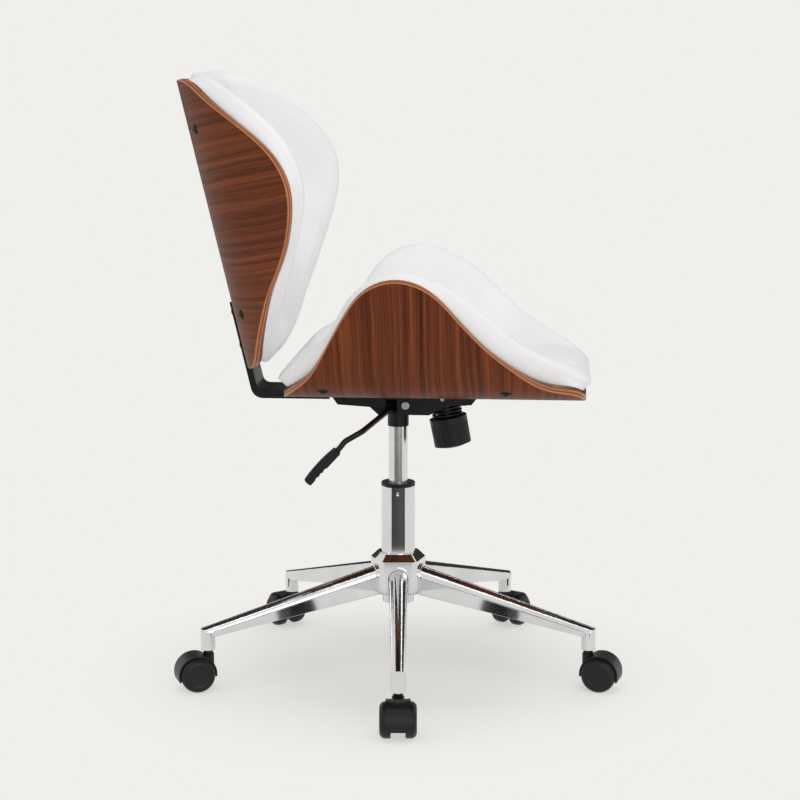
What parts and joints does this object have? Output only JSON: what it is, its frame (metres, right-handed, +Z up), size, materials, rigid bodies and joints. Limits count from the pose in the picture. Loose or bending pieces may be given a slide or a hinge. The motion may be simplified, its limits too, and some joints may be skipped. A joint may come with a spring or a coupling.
{
  "type": "office chair",
  "caption": "Swivel task chair with bent walnut shells, padded white seat and back, tilt mechanism, gas lift and chrome star base on twin-wheel casters.",
  "frame": {"origin": "on the floor under the column's axis", "axes": "+Z up along the column, +X the way the sitter faces, +Y to the sitter's left"},
  "size_m": [0.6502, 0.6346, 0.8858],
  "materials": {
    "walnut_veneer": "satin lacquer",
    "plain_ply": "raw",
    "white_leatherette": "soft grain",
    "chrome": "polished",
    "bright_steel": "zinc plated",
    "black_steel": "black powder coat",
    "black_plastic": "moulded satin"
  },
  "bodies": {
    "base": {"base_hub": "chrome", "base_leg_1": "chrome", "base_leg_2": "chrome", "base_leg_3": "chrome", "base_leg_4": "chrome", "base_leg_5": "chrome", "column_tube": "chrome", "guide_bush": "black_plastic", "thrust_bearing": "bright_steel"},
    "piston": {"piston_rod": "bright_steel", "retaining_clip": "bright_steel"},
    "lift": {"pressure_cylinder": "chrome", "tilt_yoke": "black_steel", "pivot_bolts": "bright_steel", "tilt_spring": "black_steel"},
    "release_pin": {"release_pin": "bright_steel"},
    "lever_rocker": {"lever_rocker": "black_steel"},
    "lever": {"lever_rod": "black_steel", "lever_handle": "black_plastic"},
    "tension_bolt": {"tension_bolt": "bright_steel"},
    "spring_cup": {"spring_cup": "bright_steel"},
    "tension_knob": {"tension_knob": "black_plastic"},
    "seat": {"tilt_housing": "black_steel", "bolt_pin": "bright_steel", "plate_bolts": "black_steel", "seat_shell": "walnut_veneer", "seat_board": "plain_ply", "seat_cushion": "white_leatherette", "seat_screws": "black_steel", "back_shell": "walnut_veneer", "back_board": "plain_ply", "back_cushion": "white_leatherette", "back_screws": "black_steel", "back_bracket": "black_steel", "bracket_bolts": "black_steel"},
    "caster_1": {"caster_hood_1": "black_plastic", "caster_stem_1": "black_steel", "caster_axle_1": "bright_steel"},
    "wheel_a_1": {"caster_wheel_a_1": "black_plastic"},
    "wheel_b_1": {"caster_wheel_b_1": "black_plastic"},
    "caster_2": {"caster_hood_2": "black_plastic", "caster_stem_2": "black_steel", "caster_axle_2": "bright_steel"},
    "wheel_a_2": {"caster_wheel_a_2": "black_plastic"},
    "wheel_b_2": {"caster_wheel_b_2": "black_plastic"},
    "caster_3": {"caster_hood_3": "black_plastic", "caster_stem_3": "black_steel", "caster_axle_3": "bright_steel"},
    "wheel_a_3": {"caster_wheel_a_3": "black_plastic"},
    "wheel_b_3": {"caster_wheel_b_3": "black_plastic"},
    "caster_4": {"caster_hood_4": "black_plastic", "caster_stem_4": "black_steel", "caster_axle_4": "bright_steel"},
    "wheel_a_4": {"caster_wheel_a_4": "black_plastic"},
    "wheel_b_4": {"caster_wheel_b_4": "black_plastic"},
    "caster_5": {"caster_hood_5": "black_plastic", "caster_stem_5": "black_steel", "caster_axle_5": "bright_steel"},
    "wheel_a_5": {"caster_wheel_a_5": "black_plastic"},
    "wheel_b_5": {"caster_wheel_b_5": "black_plastic"}
  },
  "joints": [
    {"name": "seat_swivel", "type": "hinge", "parent": "base", "child": "piston", "pos_m": [0, 0, 0.2], "axis": [0, 0, 1], "continuous": true},
    {"name": "height_adjust", "type": "slide", "parent": "piston", "child": "lift", "axis": [0, 0, 1], "range_m": [-0.076, 0], "stiffness_N_per_m": 500, "springref_m": 0.7},
    {"name": "seat_tilt", "type": "hinge", "parent": "lift", "child": "seat", "pos_m": [0.0138, 0, 0.409], "axis": [0, -1, 0], "range_deg": [0, 12], "stiffness_Nm_per_rad": 150, "springref_deg": -17.19, "deforming": ["tilt_spring"]},
    {"name": "lever_lift", "type": "hinge", "parent": "lift", "child": "lever_rocker", "pos_m": [-0.0034, -0.022, 0.4055], "axis": [-1, 0, 0], "range_deg": [0, 7], "stiffness_Nm_per_rad": 3, "springref_deg": -8.59},
    {"name": "lever_pull", "type": "slide", "parent": "lever_rocker", "child": "lever", "axis": [-0.2043, -0.9767, -0.0664], "range_m": [0, 0.012]},
    {"name": "pin_press", "type": "slide", "parent": "lift", "child": "release_pin", "axis": [0, 0, -1], "range_m": [0, 0.0035]},
    {"name": "tension_pull", "type": "slide", "parent": "lift", "child": "tension_bolt", "axis": [-0.1874, 0, 0.9823], "range_m": [0, 0.0115], "deforming": ["tilt_spring"]},
    {"name": "cup_lift", "type": "slide", "parent": "tension_bolt", "child": "spring_cup", "axis": [-0.1874, 0, 0.9823], "range_m": [-0.003, 0.003], "deforming": ["tilt_spring"]},
    {"name": "knob_turn", "type": "hinge", "parent": "spring_cup", "child": "tension_knob", "pos_m": [0.073, 0, 0.386], "axis": [-0.1874, 0, 0.9823], "range_deg": [-720, 720], "deforming": ["tilt_spring"]},
    {"name": "caster_swivel_1", "type": "hinge", "parent": "base", "child": "caster_1", "pos_m": [0.02326, -0.28907, 0.06], "axis": [0, 0, 1], "continuous": true},
    {"name": "wheel_roll_a_1", "type": "hinge", "parent": "caster_1", "child": "wheel_a_1", "pos_m": [0.02478, -0.308, 0.025], "axis": [0.9968, 0.0802, 0], "continuous": true},
    {"name": "wheel_roll_b_1", "type": "hinge", "parent": "caster_1", "child": "wheel_b_1", "pos_m": [0.02478, -0.308, 0.025], "axis": [0.9968, 0.0802, 0], "continuous": true},
    {"name": "caster_swivel_2", "type": "hinge", "parent": "base", "child": "caster_2", "pos_m": [0.2821, -0.06721, 0.06], "axis": [0, 0, 1], "continuous": true},
    {"name": "wheel_roll_a_2", "type": "hinge", "parent": "caster_2", "child": "wheel_a_2", "pos_m": [0.30059, -0.07161, 0.025], "axis": [0.2317, 0.9728, 0], "continuous": true},
    {"name": "wheel_roll_b_2", "type": "hinge", "parent": "caster_2", "child": "wheel_b_2", "pos_m": [0.30059, -0.07161, 0.025], "axis": [0.2317, 0.9728, 0], "continuous": true},
    {"name": "caster_swivel_3", "type": "hinge", "parent": "base", "child": "caster_3", "pos_m": [0.15109, 0.24753, 0.06], "axis": [0, 0, 1], "continuous": true},
    {"name": "wheel_roll_a_3", "type": "hinge", "parent": "caster_3", "child": "wheel_a_3", "pos_m": [0.16099, 0.26375, 0.025], "axis": [-0.8536, 0.521, 0], "continuous": true},
    {"name": "wheel_roll_b_3", "type": "hinge", "parent": "caster_3", "child": "wheel_b_3", "pos_m": [0.16099, 0.26375, 0.025], "axis": [-0.8536, 0.521, 0], "continuous": true},
    {"name": "caster_swivel_4", "type": "hinge", "parent": "base", "child": "caster_4", "pos_m": [-0.18873, 0.22019, 0.06], "axis": [0, 0, 1], "continuous": true},
    {"name": "wheel_roll_a_4", "type": "hinge", "parent": "caster_4", "child": "wheel_a_4", "pos_m": [-0.20109, 0.23461, 0.025], "axis": [-0.7593, -0.6508, 0], "continuous": true},
    {"name": "wheel_roll_b_4", "type": "hinge", "parent": "caster_4", "child": "wheel_b_4", "pos_m": [-0.20109, 0.23461, 0.025], "axis": [-0.7593, -0.6508, 0], "continuous": true},
    {"name": "caster_swivel_5", "type": "hinge", "parent": "base", "child": "caster_5", "pos_m": [-0.26773, -0.11145, 0.06], "axis": [0, 0, 1], "continuous": true},
    {"name": "wheel_roll_a_5", "type": "hinge", "parent": "caster_5", "child": "wheel_a_5", "pos_m": [-0.28527, -0.11875, 0.025], "axis": [0.3843, -0.9232, 0], "continuous": true},
    {"name": "wheel_roll_b_5", "type": "hinge", "parent": "caster_5", "child": "wheel_b_5", "pos_m": [-0.28527, -0.11875, 0.025], "axis": [0.3843, -0.9232, 0], "continuous": true}
  ],
  "couplings": [
    {"joint": "pin_press", "follows": "lever_lift", "m_per_rad": 0.0265},
    {"joint": "tension_pull", "follows": "seat_tilt", "m_per_rad": 0.05356},
    {"joint": "cup_lift", "follows": "knob_turn", "m_per_rad": 0.00023873}
  ]
}
